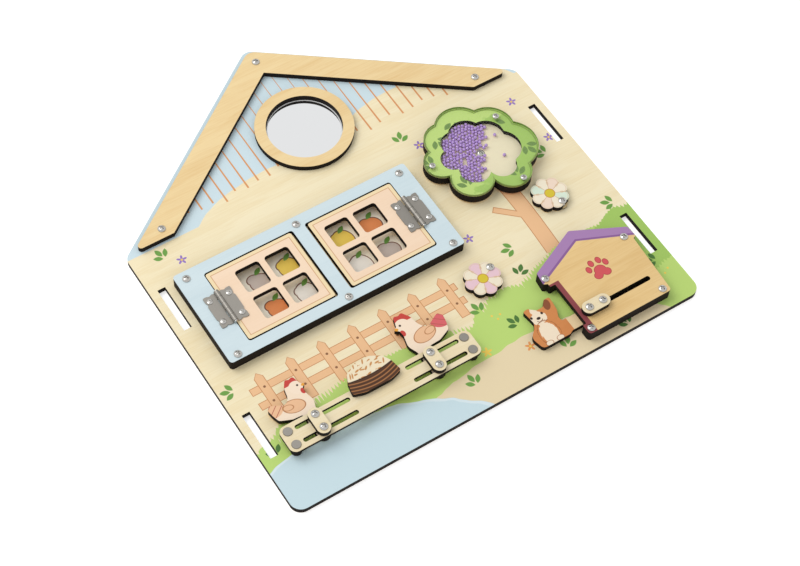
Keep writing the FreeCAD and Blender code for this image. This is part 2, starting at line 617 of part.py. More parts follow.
def kennelOutline():
    corner = size("kennel_corner")
    left = size("kennel_left")
    foot = size("kennel_foot")
    return [
        (left + 5, foot, corner), (size("kennel_foot_right"), foot, corner),
        (size("kennel_right"), size("kennel_eave_low") - 1.5, 0),
        (size("kennel_eave_right"), size("kennel_eave_low"), 1.5),
        (size("kennel_eave_right") - 0.6, size("kennel_eave_high"), 2),
        (size("kennel_apex_x"), size("kennel_apex_y"), 3),
        (left + 1.5, size("kennel_eave_high") + 1, 2), (left, size("kennel_eave_low"), 1.5),
        (left + 3.6, size("kennel_eave_low") - 1.5, 0), (left + 3.6, size("notch_high"), 1),
        (size("notch_x"), size("notch_high"), 1), (size("notch_x"), size("notch_low"), 1),
        (left + 5, size("notch_low"), 1)]


# Kennel: C-shaped walls under a front panel, open on the left where the dog goes in
def kennel():
    places = [("kennel_screw_left", "kennel_screw_high"), ("kennel_screw_right", "kennel_screw_high"),
              ("kennel_screw_foot_left", "kennel_screw_low"),
              ("kennel_screw_foot_right", "kennel_screw_low")]
    drilled = drills("kennel_hole", screwHole, "3 * ply - screw_tip_cover", places,
                     "screw_tip_cover")
    walls = sawn("kennel_walls_blank", kennelOutline(), "ply", "ply")
    room = block("kennel_room", "kennel_foot_right - kennel_wall / 2 - kennel_left",
                 "notch_high - notch_low", "ply", "kennel_left", "notch_low", "ply")
    keep(cut("kennel_walls", walls, [room] + drilled))
    panel = sawn("kennel_front_blank", kennelOutline(), "ply", "2 * ply")
    slot = roundedBlock("kennel_slot", "kennel_slot_right - kennel_slot_left", "kennel_slot_width",
                        "ply", "kennel_slot_round", "kennel_slot_left",
                        "kennel_slot_y - kennel_slot_width / 2", "2 * ply")
    keep(cut("kennel_front", panel, [slot] + drilled))
    screw = turnedScrew(size("screw_head"), size("screw_head_height"), size("screw_shank"),
                        3 * face - size("screw_tip_cover"))
    keep(group("kennel_screws", screw, drilled, 3 * face))
    return drilled


# A sitting dog on a long arm; the arm slides under the kennel's front and carries the handle
def dog():
    left = size("dog_left")
    foot = size("dog_foot")
    armLow = size("kennel_slot_y") - size("dog_arm_width") / 2
    armHigh = armLow + size("dog_arm_width")
    end = size("dog_screw_x") + size("dog_screw_pitch") + size("dog_arm_width") / 2
    part = size("dog_height") / 39
    back = left + 34 * part
    outline = [
        (left + 3 * part, foot, 4 * part), (left + 30 * part, foot, 3 * part),
        (back, armLow, part), (end, armLow, 5), (end, armHigh, 5),
        (left + 31.5 * part, armHigh, 1.5 * part), (left + 31 * part, foot + 19 * part, 4 * part),
        (back, foot + 25 * part, 5 * part), (left + 35 * part, foot + 32 * part, 3 * part),
        (left + 35.5 * part, foot + 39 * part, 1.6 * part),
        (left + 30 * part, foot + 39 * part, 2.5 * part),
        (left + 25.5 * part, foot + 33.5 * part, 2 * part),
        (left + 19 * part, foot + 33.5 * part, 2 * part),
        (left + 13 * part, foot + 38.6 * part, 2.5 * part),
        (left + 8.2 * part, foot + 38 * part, 1.6 * part),
        (left + 9.4 * part, foot + 30 * part, 3 * part), (left + 10 * part, foot + 24 * part, 4 * part),
        (left + 6.5 * part, foot + 19 * part, 5 * part), (left, foot + 13 * part, 7 * part)]
    places = [("dog_screw_x", "kennel_slot_y"), ("dog_screw_x + dog_screw_pitch", "kennel_slot_y")]
    low = "ply + fit_gap / 2"
    drilled = drills("dog_hole", smallHole, "4 * ply", places, "ply + screw_tip_cover")
    keep(cut("dog", sawn("dog_blank", outline, "toy_ply", low), drilled))
    above = "3 * ply + fit_gap"
    grip = roundedBlock("dog_handle_blank", "dog_screw_pitch + 2 * dog_handle_end", "handle_width",
                        "handle_thickness", "handle_round", "dog_screw_x - dog_handle_end",
                        "kennel_slot_y - handle_width / 2", above)
    keep(cut("dog_handle", grip, drilled))
    dogTop = face + size("fit_gap") / 2 + size("toy_ply")
    seat = 3 * face + size("fit_gap")
    screw = turnedScrew(size("screw_head"), size("screw_head_height"), size("small_shank"),
                        seat + size("handle_thickness") - face - 1.5 * size("screw_tip_cover"))
    keep(group("dog_screws", screw, drilled, seat + size("handle_thickness")))
    bore = Part.makeCylinder(size("small_shank") + size("hole_clearance"), seat)
    bush = Part.makeCylinder(size("dog_bush_radius"), seat - dogTop).cut(bore)
    keep(group("dog_bushes", bush, drilled, dogTop))


# Base board: a house outline with strap slots, the mirror's hole and every screw's hole
def baseBoard(drilled):
    half = size("board_width") / 2
    wall = size("wall_height")
    corner = size("board_corner")
    blank = sawn("base_board_blank", [
        (-half, 0, corner), (half, 0, corner), (half, wall, corner), (0, sharpApex, size("apex_round")),
        (-half, wall, corner)], "ply", "0")
    slots = [block("strap_slot_%s%s" % (side, level), "strap_slot_width", "strap_slot_length", "ply",
                   "%s * strap_slot_x - strap_slot_width / 2" % side,
                   "strap_slot_%s_y - strap_slot_length / 2" % level, "0")
             for side in ("-1", "1") for level in ("low", "high")]
    keep(cut("base_board", blank, slots + drilled))


boardHoles = roofTrim() + mirror() + windowFrame(door("left", -1) + door("right", 1))
crown()
pivots = pivot("crown", "crown_x", "crown_y", "crown_spacer_radius", "crown_spacer_height",
               size("thin_ply"))
pivots += flower("white") + flower("pink")
pivotNuts([hole for hole in pivots if "pivot_hole" in hole.Label])
boardHoles += pivots + rail() + kennel()
hen("left_hen", 1, 1.0)
hen("right_hen", -1, size("right_hen_scale"))
dog()
baseBoard(boardHoles)
doc.recompute()

for thing in doc.Objects:
    if "Invalid" in thing.State or "Error" in thing.State:
        raise RuntimeError("%s failed: %s" % (thing.Label, thing.State))
os.makedirs("parts", exist_ok=True)
for thing in nodes:
    shape = thing.Shape
    if shape.isNull() or not shape.isValid() or not shape.Solids:
        raise RuntimeError("%s is not a valid solid" % thing.Label)
    shape.exportStep("parts/%s.step" % thing.Label)
print(len(nodes), "sub-parts,", len(boardHoles), "holes in the board")
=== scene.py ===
import math

import bpy
import numpy as np
from mathutils import Matrix, Vector


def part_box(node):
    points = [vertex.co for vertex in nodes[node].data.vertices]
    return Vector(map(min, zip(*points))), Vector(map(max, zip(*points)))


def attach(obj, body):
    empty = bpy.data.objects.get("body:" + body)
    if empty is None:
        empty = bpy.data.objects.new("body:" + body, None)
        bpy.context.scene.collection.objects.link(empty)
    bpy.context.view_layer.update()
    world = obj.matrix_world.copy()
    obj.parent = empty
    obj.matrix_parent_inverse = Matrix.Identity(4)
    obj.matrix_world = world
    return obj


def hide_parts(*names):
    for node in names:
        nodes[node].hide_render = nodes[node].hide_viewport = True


# Wooden busy board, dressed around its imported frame.
# Places are metres in the scene and millimetres in the prints.
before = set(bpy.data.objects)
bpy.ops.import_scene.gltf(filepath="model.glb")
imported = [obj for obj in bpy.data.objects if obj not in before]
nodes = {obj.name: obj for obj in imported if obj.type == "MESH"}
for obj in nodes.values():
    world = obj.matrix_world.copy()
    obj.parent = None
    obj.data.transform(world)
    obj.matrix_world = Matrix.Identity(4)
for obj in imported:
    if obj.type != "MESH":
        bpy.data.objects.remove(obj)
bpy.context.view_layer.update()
print("frame:", len(nodes), "nodes")

mm = 0.001
footY = 210.65  # board places are measured from the bottom edge, this far below the origin


def ink(code):
    # a printed colour, from hexadecimal to linear light
    parts = [int(code[i:i + 2], 16) / 255 for i in (0, 2, 4)]
    return tuple(p / 12.92 if p < 0.04 else ((p + 0.055) / 1.055) ** 2.4 for p in parts) + (1.0,)


class Wire:
    # one output of a node; an operator adds the node that works it out
    def __init__(self, net, socket):
        self.net, self.socket = net, socket

    def maths(self, operation, *values, clamp=False):
        return self.net.add("ShaderNodeMath", {"operation": operation, "use_clamp": clamp}, values)

    def __add__(self, other): return self.maths("ADD", self, other)
    def __sub__(self, other): return self.maths("SUBTRACT", self, other)
    def __mul__(self, other): return self.maths("MULTIPLY", self, other)
    def __truediv__(self, other): return self.maths("DIVIDE", self, other)
    def __radd__(self, other): return self.maths("ADD", other, self)
    def __rsub__(self, other): return self.maths("SUBTRACT", other, self)
    def __rmul__(self, other): return self.maths("MULTIPLY", other, self)
    def __mod__(self, other): return self.maths("FLOORED_MODULO", self, other)
    def __and__(self, other): return self.maths("MINIMUM", self, other)
    def __or__(self, other): return self.maths("MAXIMUM", self, other)
    def __abs__(self): return self.maths("ABSOLUTE", self)
    def __neg__(self): return self.maths("MULTIPLY", self, -1)
    def sine(self): return self.maths("SINE", self)
    def cosine(self): return self.maths("COSINE", self)
    def root(self): return self.maths("SQRT", self)
    def floor(self): return self.maths("FLOOR", self)
    def power(self, other): return self.maths("POWER", self, other)
    def angle(self, across): return self.maths("ARCTAN2", self, across)
    def held(self):
        # kept between 0 and 1
        return self.maths("MULTIPLY", self, 1.0, clamp=True)

    def fill(self, soft=0.25):
        # 1 where a distance is below zero, with a soft edge
        return self.maths("MULTIPLY_ADD", self, -1 / soft, 0.5, clamp=True)

    def line(self, width, soft=0.25):
        # 1 within half the width of where a distance is zero
        return (abs(self) - width / 2).fill(soft)


class Net:
    # makes and joins the nodes of one material or world
    def __init__(self, tree):
        self.tree = tree

    def add(self, kind, settings=None, values=(), output=0):
        node = self.tree.nodes.new(kind)
        for name, value in (settings or {}).items():
            setattr(node, name, value)
        pairs = values.items() if isinstance(values, dict) else enumerate(values)
        for socket, value in pairs:
            self.feed(node, socket, value)
        return Wire(self, node.outputs[output])

    def feed(self, node, socket, value):
        if isinstance(value, Wire):
            self.tree.links.new(value.socket, node.inputs[socket])
        else:
            node.inputs[socket].default_value = value

    def others(self, wire, *names):
        # more outputs of the node that a wire comes from
        return [Wire(self, wire.socket.node.outputs[name]) for name in names]

    def vector(self, operation, *values, output=0):
        return self.add("ShaderNodeVectorMath", {"operation": operation}, values, output)

    def seen(self):
        # 1 for rays from the camera and for those that metal and glass pass on
        camera = self.add("ShaderNodeLightPath", output="Is Camera Ray")
        glossy, through = self.others(camera, "Is Glossy Ray", "Is Transmission Ray")
        return camera | glossy | through


# Plywood: the face's bands, fibres and pores, the charred cut edges, and the gloss
plywood = {
    "bandScale": 0.05, "bandStretch": (0.16, 1.5, 1), "bandStart": 0.36, "bandPart": 1.3,
    "waves": 46, "wavePart": 0.07,
    "fibreScale": 0.9, "fibreStretch": (0.035, 1, 1), "fibrePart": 0.8,
    "poreScale": 1.6, "poreStretch": (0.12, 1, 1), "poreStart": 0.66, "poreGain": 3,
    "porePart": 0.5, "char": "0F0906", "warmChar": "3A2315", "plyWaves": 4.5, "plyPart": 0.12,
    "streakScale": 0.55, "streakStretch": (1, 1, 2.2), "streakStart": 0.53, "streakGain": 3,
    "specular": 0.22, "roughness": 0.5, "roughFibre": 0.25, "roughEdge": 0.3,
    "bump": 0.05, "bumpDeep": 0.0004,
}
# Sprig of three leaves: where they lie along the stem, how long and how wide they are
sprigShape = {"upright": 6.6, "uprightHalf": 3.6, "uprightWide": 1.8, "slant": (0.68, 0.73),
              "slanted": 5.0, "slantedHalfSquare": 11.6, "slantedWide": 1.7}


class Finish(Net):
    # one material: its Principled shader, board places in mm and the colour painted so far
    def __init__(self, name, **sockets):
        self.material = bpy.data.materials.new(name)
        self.material.use_nodes = True
        super().__init__(self.material.node_tree)
        self.shader = self.tree.nodes["Principled BSDF"]
        for socket, value in sockets.items():
            self.feed(self.shader, socket.replace("_", " "), value)
        here = self.add("ShaderNodeTexCoord", output="Object")
        self.at = self.vector("MULTIPLY_ADD", here, (1000, 1000, 1000), (0, footY, 0))
        self.flat = self.vector("MULTIPLY", self.at, (1, 1, 0))
        self.x = self.add("ShaderNodeSeparateXYZ", values=[self.at])
        self.y, self.z = self.others(self.x, "Y", "Z")
        self.colour = None
        self.groups = {}

    def blend(self, under, over, mask):
        # sockets 6 and 7 and output 2 are the Mix node's colours
        return self.add("ShaderNodeMix", {"data_type": "RGBA"}, {0: mask, 6: under, 7: over}, 2)

    def lay(self, mask, colour):
        self.colour = self.blend(self.colour, colour, mask)

    def noise(self, scale, detail=2, vector=None, stretch=None):
        at = vector or self.at
        if stretch:
            at = self.vector("MULTIPLY", at, stretch)
        return self.add("ShaderNodeTexNoise", None,
                        {"Vector": at, "Scale": scale, "Detail": detail})

    def along(self, vector, way):
        return self.vector("DOT_PRODUCT", vector, way, output="Value")

    def axes(self, x, y, turn=0.0, wide=1.0, tall=1.0):
        # places around x, y, turned by degrees and measured in wide and tall
        c, s = math.cos(math.radians(turn)), math.sin(math.radians(turn))
        ways = ((c / wide, s / wide, 0), (-s / tall, c / tall, 0))
        return [self.along(self.at, way) - (x * way[0] + y * way[1]) for way in ways]

    def disc(self, x, y, radius):
        return self.vector("DISTANCE", self.flat, (x, y, 0), output="Value") - radius

    def oval(self, x, y, wide, tall, turn=0.0):
        across, along = self.axes(x, y, turn, wide, tall)
        return ((across * across + along * along).root() - 1) * min(wide, tall)

    def bar(self, x, y, wide, tall, turn=0.0):
        across, along = self.axes(x, y, turn)
        return (abs(across) - wide) | (abs(along) - tall)

    def leaf(self, x, y, wide, tall, turn=0.0):
        # two arcs that meet in points: the height falls with the square of the place across
        across, along = self.axes(x, y, turn, wide, tall)
        return (across * across + abs(along) - 1) * (0.7 * tall)

    def sprig(self, x, y, turn, size=1.0):
        # one upright leaf between two slanted ones, folded about the middle
        p = sprigShape
        across, along = self.axes(x, y, turn, size, size)
        side = abs(across)
        middle = (along - p["upright"]) / p["uprightHalf"]
        upright = middle * middle + side / p["uprightWide"] - 1
        out = side * p["slant"][0] + along * p["slant"][1] - p["slanted"]
        off = abs(along * p["slant"][0] - side * p["slant"][1])
        slanted = out * out / p["slantedHalfSquare"] + off / p["slantedWide"] - 1
        return (upright * 1.3) & (slanted * 1.2)

    def blossom(self, x, y, petals=5, ring=3.2, wave=1.5):
        # distance from a flower outline that waves with the angle
        across, along = self.axes(x, y)
        far = (across * across + along * along).root()
        return far - ring - (along.angle(across) * petals).cosine() * wave

    def gather(self, key, distance):
        # motifs of one colour become one distance
        self.groups[key] = self.groups[key] & distance if key in self.groups else distance

    def layGroup(self, key, colour, outline=None, width=0.0):
        self.lay(self.groups[key].fill(), ink(colour))
        if outline:
            self.lay(self.groups[key].line(width), ink(outline))

    def facing(self):
        # how far a face looks up: 1 on top, 0 on the cut edges, -1 underneath
        return self.along(self.add("ShaderNodeTexCoord", output="Normal"), (0, 0, 1))

    def grain(self, pale, dark, strength=1.0):
        # plywood face: long soft bands, a wavy figure, fine fibres and short pores along x
        p = plywood
        band = self.noise(p["bandScale"], 3, stretch=p["bandStretch"])
        self.fibre = self.noise(p["fibreScale"], 2, stretch=p["fibreStretch"])
        pore = self.noise(p["poreScale"], 1, stretch=p["poreStretch"]) - p["poreStart"]
        mask = (band - p["bandStart"]) * p["bandPart"] + (band * p["waves"]).sine() * p["wavePart"]
        mask = (mask + (self.fibre - 0.5) * p["fibrePart"]) * strength
        self.figure = (mask + (pore * p["poreGain"] | 0) * p["porePart"]).held()
        self.colour = self.blend(ink(pale), ink(dark), self.figure)

    def burn(self):
        # bare veneer underneath, and charred plies with browner streaks on the cut edges
        p = plywood
        facing = self.facing()
        self.lay((facing + 0.5).fill(0.1), self.blend(ink(wood[0]), ink(wood[1]), self.figure))
        ply = (self.z * p["plyWaves"]).sine() * p["plyPart"]
        streak = self.noise(p["streakScale"], 3, stretch=p["streakStretch"]) - p["streakStart"]
        warm = (streak * p["streakGain"] + ply).held()
        self.edge = (abs(facing) - 0.5).fill(0.1)
        self.lay(self.edge, self.blend(ink(p["char"]), ink(p["warmChar"]), warm))

    def close(self, bump=plywood["bump"]):
        # joins the painted colour to the shader, with the wood's fibres in its gloss and relief
        p = plywood
        self.burn()
        self.feed(self.shader, "Base Color", self.colour)
        self.feed(self.shader, "Specular IOR Level", p["specular"])
        rough = p["roughness"] + (self.fibre - 0.5) * p["roughFibre"] + self.edge * p["roughEdge"]
        self.feed(self.shader, "Roughness", rough)
        raised = self.add("ShaderNodeBump", None,
                          {"Strength": bump, "Distance": p["bumpDeep"], "Height": self.fibre})
        self.feed(self.shader, "Normal", raised)
        return self.material


def dress(material, *names):
    for name in names:
        mesh = nodes[name].data
        mesh.materials.clear()
        mesh.materials.append(material)


def bareWood(name, pale, dark, strength=1.0):
    finish = Finish(name)
    finish.grain(pale, dark, strength)
    return finish.close()


# Bare plywood: pale and dark colour of the grain, and how strong its figure is
wood = ("F0D6A2", "DDB577")
paleWood = ("F1E2BF", "E2C993")
# painted light: the crown's chamber floor is painted paler than the bare wood, against the shade
# under the clear cover
chamberWoodPaintedLight = ("FFF1D2", "F5E3BE", 0.5)
dress(bareWood("bare plywood", *wood), "roof_trim", "mirror_ring", "mirror_backing",
      "window_spacer", "kennel_walls", "rail_standoffs", "crown_spacer", "crown_wall",
      "white_flower_spacer", "pink_flower_spacer")
dress(bareWood("chamber floor painted light", *chamberWoodPaintedLight), "crown_back")
dress(bareWood("pale plywood", *paleWood), "rail_plate", "left_hen_handle", "right_hen_handle",
      "dog_handle")

# Board print: a plain garden in flat colours; ovals are x, y, half width, half height, turn
garden = {
    "cream": ("F7EAC6", "EBD5A3"), "sky": "CFE2E9", "siding": "DC9A63", "peach": "F1C293",
    "outline": "C98A5A", "nail": "8E6244", "green": "BEDB78", "deep": "A6CA66", "sand": "EBD9B2",
    "water": "CBE1E8", "shore": "DCEBF0", "kennelShadeInk": "33241A", "recess": "F7EEDA",
    "fruitLine": "7A5140",
    "motifs": {"purple": "9A7CC4", "orange": "E79A5A", "yellow": "F2CF5B", "leaf": "6FA04A",
               "darkLeaf": "4F7A3A", "eyes": "F2CF5B"},
    "rippleScale": 0.03, "hills": ((-52, 250, 96, 48), (96, 246, 112, 72)), "hillRipple": 6,
    "sidingPitch": 11.4, "sidingFoot": 276.0, "sidingWide": 1.7, "sidingTaper": 0.006,
    "sidingRise": 4, "sidingNoise": 0.6, "sidingSpread": 22,
    "gableTop": 403, "gableSlope": 0.723,
    "trunk": (117, 156), "trunkHalf": (7.2, 58), "bough": (106, 150, 15, 2.8, -42), "trunkFoot": 99,
    "swayWaves": 0.03, "sway": 2, "lineWide": 0.7,
    "picketPitch": 29.7, "picketStart": 178, "picketWide": 4.3, "picketTop": 126, "picketFoot": 82,
    "picketSlope": 1.1, "fenceEnds": (-176, 24), "fenceRails": (111.5, 96.5), "railHalf": 3.6,
    "fenceLine": 0.6, "nailSize": 1.15, "nailReach": 14,
    "bladePitch": 3.3, "tuftScale": 0.07, "tuftGain": 14, "tuftStart": 5.2, "deepBlades": 0.6,
    "fieldRipple": 8, "pathRipple": 10, "shoreWide": 1.6,
    "mounds": ((-80, 20, 150, 66), (150, 36, 118, 66), (52, 52, 44, 38)),
    "deepMound": (178, 70, 60, 34, 20), "path": (20, -22, 150, 62, 3),
    "pond": (-128, -8, 118, 56, -4),
    "kennelShadePatch": (134, 39, 35, 9),
    "sprigSize": 1.25, "sprigs": (
        (-171, 262, 20), (-186, 120, 70), (66, 262, -20), (170, 186, 40), (-14, 22, 10),
        (70, 12, -30), (190, 112, 60), (28, 78, 15), (88, 118, 80), (150, 232, 150)),
    "darkSprigSize": 1.2, "darkSprigs": (
        (48, 52, 30), (76, 92, -40), (186, 44, 60), (128, 4, 20), (-186, 52, 10)),
    "specks": ((36, 66), (40, 69), (33, 71), (62, 40), (66, 43), (184, 30), (189, 33)),
    "blossoms": (
        (-160, 254, "purple"), (78, 252, "purple"), (182, 200, "purple"), (60, 146, "purple"),
        (176, 250, "purple"), (44, 30, "orange"), (104, 24, "yellow"), (10, 44, "yellow"),
        (120, 96, "yellow")),
    "recesses": (-111.9, -13.7), "recessHalf": (43.1, 38.2), "recessY": 187.2,
    "fruits": {"E98F55": 0.95, "F7EFE2": 1.25, "C9B9AD": 0.9, "F2CF5B": 1.2},
    "fruitLeft": (-115.7, -33.3), "fruitFoot": 172.1, "fruitStep": (28.5, 29.8), "fruitSize": 9.4,
    "fruitPlace": (1, -2), "fruitTurn": 12, "fruitLineWide": 0.9,
    "fruitBump": (-3, 3, 6, 5), "fruitLeaf": (4, 9, 4.6, 2.2, 35),
    "speckSize": 1.0, "eyeSize": 1.1, "bump": 0.03,
}


def sceneryPrint(board, ripple):
    # sky over two hills in the gable, with thin wall boards that taper upwards
    g = garden
    hills = (board.oval(*g["hills"][0]) & board.oval(*g["hills"][1])) + ripple * g["hillRipple"]
    board.lay((g["sidingFoot"] - board.y | -hills).fill(), ink(g["sky"]))
    cell = board.x % g["sidingPitch"] - g["sidingPitch"] / 2
    column = board.add("ShaderNodeCombineXYZ", values={"X": (board.x / g["sidingPitch"]).floor()})
    uneven = board.noise(g["sidingNoise"], 0, column) * g["sidingSpread"]
    start = board.y - g["sidingFoot"] - g["sidingRise"] - uneven
    thin = abs(cell) - g["sidingWide"] / 2 + start * g["sidingTaper"]
    under = board.y - g["gableTop"] + abs(board.x) * g["gableSlope"]
    board.lay((thin | -start | under).fill(0.4), ink(g["siding"]))
    # trunk with one bough, under the crown
    x, y = g["trunk"]
    half, tall = g["trunkHalf"]
    sway = (board.y * g["swayWaves"]).sine() * g["sway"]
    tree = (abs(board.x - x + sway) - half | abs(board.y - y) - tall) & board.bar(*g["bough"])
    board.lay(tree.fill(), ink(g["peach"]))
    board.lay((abs(tree) - g["lineWide"] / 2 | g["trunkFoot"] - board.y).fill(), ink(g["outline"]))


def fencePrint(board):
    # picket fence on two rails, with a nail at each crossing
    g = garden
    left, right = g["fenceEnds"]
    high, low = g["fenceRails"]
    post = (board.x + g["picketStart"]) % g["picketPitch"] - g["picketPitch"] / 2
    reach = left - board.x | board.x - right
    rails = (abs(board.y - high) - g["railHalf"] & abs(board.y - low) - g["railHalf"]) | reach
    tip = board.y - g["picketTop"] + abs(post) * g["picketSlope"]
    picket = (abs(post) - g["picketWide"] | tip | g["picketFoot"] - board.y) | reach
    for part in (rails, picket):
        board.lay(part.fill(), ink(g["peach"]))
        board.lay((part + g["fenceLine"] / 2).line(g["fenceLine"]), ink(g["outline"]))
    spread, between = high - low, (high + low) / 2
    nail = board.add("ShaderNodeCombineXYZ", values={
        "X": post, "Y": (board.y - low + spread / 2) % spread - spread / 2})
    dot = board.vector("LENGTH", nail, output="Value") - g["nailSize"]
    board.lay((dot | picket | abs(board.y - between) - g["nailReach"]).fill(), ink(g["nail"]))


def meadowPrint(board, ripple):
    # meadow with tufts along its top, a sand path, water, and painted shade: a dark patch on the
    # board under the kennel
    g = garden
    tuft = board.noise(g["tuftScale"], 1) * g["tuftGain"] - g["tuftStart"]
    blade = abs(board.x % g["bladePitch"] - g["bladePitch"] / 2) * tuft
    mound = board.oval(*g["mounds"][0]) & board.oval(*g["mounds"][1]) & board.oval(*g["mounds"][2])
    board.lay((mound + blade + ripple * g["fieldRipple"]).fill(), ink(g["green"]))
    deep = board.oval(*g["deepMound"]) + blade * g["deepBlades"] + ripple * g["pathRipple"]
    board.lay(deep.fill(), ink(g["deep"]))
    board.lay((board.oval(*g["path"]) + ripple * g["pathRipple"]).fill(), ink(g["sand"]))
    pond = board.oval(*g["pond"]) + ripple * g["fieldRipple"]
    board.lay(pond.fill(), ink(g["water"]))
    board.lay((pond + 1).line(g["shoreWide"], g["shoreWide"] / 2), ink(g["shore"]))
    # painted shade: the board under the kennel is printed dark where the kennel's inside lies in
    # shadow
    board.lay(board.bar(*g["kennelShadePatch"]).fill(2), ink(g["kennelShadeInk"]))


def boardPrint():
    g = garden
    board = Finish("garden print")
    board.grain(*g["cream"])
    ripple = board.noise(g["rippleScale"], 2) - 0.5
    sceneryPrint(board, ripple)
    fencePrint(board)
    meadowPrint(board, ripple)
    for x, y, turn in g["sprigs"]:
        board.gather("leaf", board.sprig(x, y, turn, g["sprigSize"]))
    for x, y, turn in g["darkSprigs"]:
        board.gather("darkLeaf", board.sprig(x, y, turn, g["darkSprigSize"]))
    for x, y in g["specks"]:
        board.gather("yellow", board.disc(x, y, g["speckSize"]))
    for x, y, key in g["blossoms"]:
        board.gather(key, board.blossom(x, y))
        board.gather("eyes", board.disc(x, y, g["eyeSize"]))
    # fruit behind the eight panes
    half, tall = g["recessHalf"]
    left, right = g["recesses"]
    across = abs(board.x - left) - half & abs(board.x - right) - half
    recess = across | abs(board.y - g["recessY"]) - tall
    board.lay(recess.fill(), ink(g["recess"]))
    for side, first in enumerate(g["fruitLeft"]):
        for k in range(4):
            x = first + g["fruitStep"][0] * (k % 2)
            y = g["fruitFoot"] + g["fruitStep"][1] * (k // 2)
            code = list(g["fruits"])[(k + side) % 4]
            dx, dy = g["fruitPlace"]
            size = (g["fruitSize"], g["fruitSize"] * g["fruits"][code], g["fruitTurn"])
            board.gather(code, board.oval(x + dx, y + dy, *size))
            dx, dy, *size = g["fruitBump"]
            board.gather(code, board.oval(x + dx, y + dy, *size))
            dx, dy, *size = g["fruitLeaf"]
            board.gather("leaf", board.leaf(x + dx, y + dy, *size))
    for code in g["fruits"]:
        board.layGroup(code, code, g["fruitLine"], g["fruitLineWide"])
    for key, code in g["motifs"].items():
        board.layGroup(key, code)
    return board.close(g["bump"])


dress(boardPrint(), "base_board")
print("board print done")

# Window frame and doors
windowSizes = {"frame": ("D3E3E8", "C6D8DF"), "door": ("F7DCC0", "F0CFAE"), "border": "F3DDB2",
               "line": "D2A57C", "lineWide": 0.7, "lineSoft": 0.4, "figure": 0.8,
               "doors": {"left_door": -112.7, "right_door": -12.9},
               "middleY": 187.2, "half": (41.5, 36.8), "inset": 3.4}
frameBlue = Finish("pale blue print")
frameBlue.grain(*windowSizes["frame"], windowSizes["figure"])
dress(frameBlue.close(), "window_frame")


def doorPrint(name, middle):
    # peach panel with a bare border, and a thin line between them
    w = windowSizes
    door = Finish(name.replace("_", " ") + " print")
    door.grain(*w["door"], w["figure"])
    edge = door.bar(middle, w["middleY"], *(half - w["inset"] for half in w["half"]))
    door.lay((-edge).fill(), ink(w["border"]))
    door.lay(edge.line(w["lineWide"], w["lineSoft"]), ink(w["line"]))
    return door.close()


for name, middle in windowSizes["doors"].items():
    dress(doorPrint(name, middle), name)

# Flowers: eight printed petals round a yellow eye
flowers = {
    "white_flower": (144.5, 146, ("F5EAD3", "F3DCC8", "F5EAD3", "DCEBD8")),
    "pink_flower": (45.2, 103, ("E9C7D0", "F1E6CE")),
}
flowerSizes = {"petals": 8, "eye": 4.5, "arcFar": 11, "arc": 5.0, "arcHalf": 0.2, "arcStart": 5,
               "seamHalf": 0.04, "seam": "D2AE8A", "arcLine": "DFC19D", "eyeInk": "D9C43C",
               "eyeLine": "C48F45", "eyeLineWide": 0.7, "figure": 0.2}


def flowerPrint(name, x, y, tints):
    # the angle counts petals from 0 to 8; a seam lies where it is whole, and an arc runs round
    # the foot of each petal
    f = flowerSizes
    petals, far = f["petals"], f["arcFar"]
    bloom = Finish(name.replace("_", " ") + " print")
    bloom.grain(tints[0], tints[0], f["figure"])
    across, along = bloom.axes(x, y)
    angle = along.angle(across) * (petals / 2 / math.pi) + petals + 0.5
    for k in range(petals):
        bloom.lay((abs(angle % petals - k - 0.5) - 0.5).fill(0.04), ink(tints[k % len(tints)]))
    eye = bloom.disc(x, y, f["eye"])
    seam = 0.5 - f["seamHalf"] - abs(angle % 1 - 0.5)
    bloom.lay((seam | -eye).fill(0.03), ink(f["seam"]))
    for k in range(petals):
        turn = 2 * math.pi * k / petals
        arc = bloom.disc(x + far * math.cos(turn), y + far * math.sin(turn), f["arc"])
        bloom.lay((abs(arc) - f["arcHalf"] | f["arcStart"] - eye).fill(0.3), ink(f["arcLine"]))
    bloom.lay(eye.fill(), ink(f["eyeInk"]))
    bloom.lay(eye.line(f["eyeLineWide"]), ink(f["eyeLine"]))
    return bloom.close()


for name, flower in flowers.items():
    dress(flowerPrint(name, *flower), name)

# Nest: straw over a woven basket
nestSizes = {"middle": -87.9, "pale": ("F1E3C4", "E6D2A8"), "straw": "C98F55", "strawScale": 0.19,
             "strawSpread": 0.8, "swirlScale": 0.9, "swirl": 5, "strawWay": (0.9, 0.43),
             "strawLong": 4.4, "strawWide": 0.75, "basketTop": 69.2, "basketBend": 0.005,
             "basket": "4E301D", "band": "A87145", "bandPitch": 3.3, "bandFoot": 57.4,
             "bandBend": 0.009, "bandHalf": 0.5, "bandIn": 1, "rim": "3A2215", "highlightRingWide": 1.0,
             "figure": 0.6}


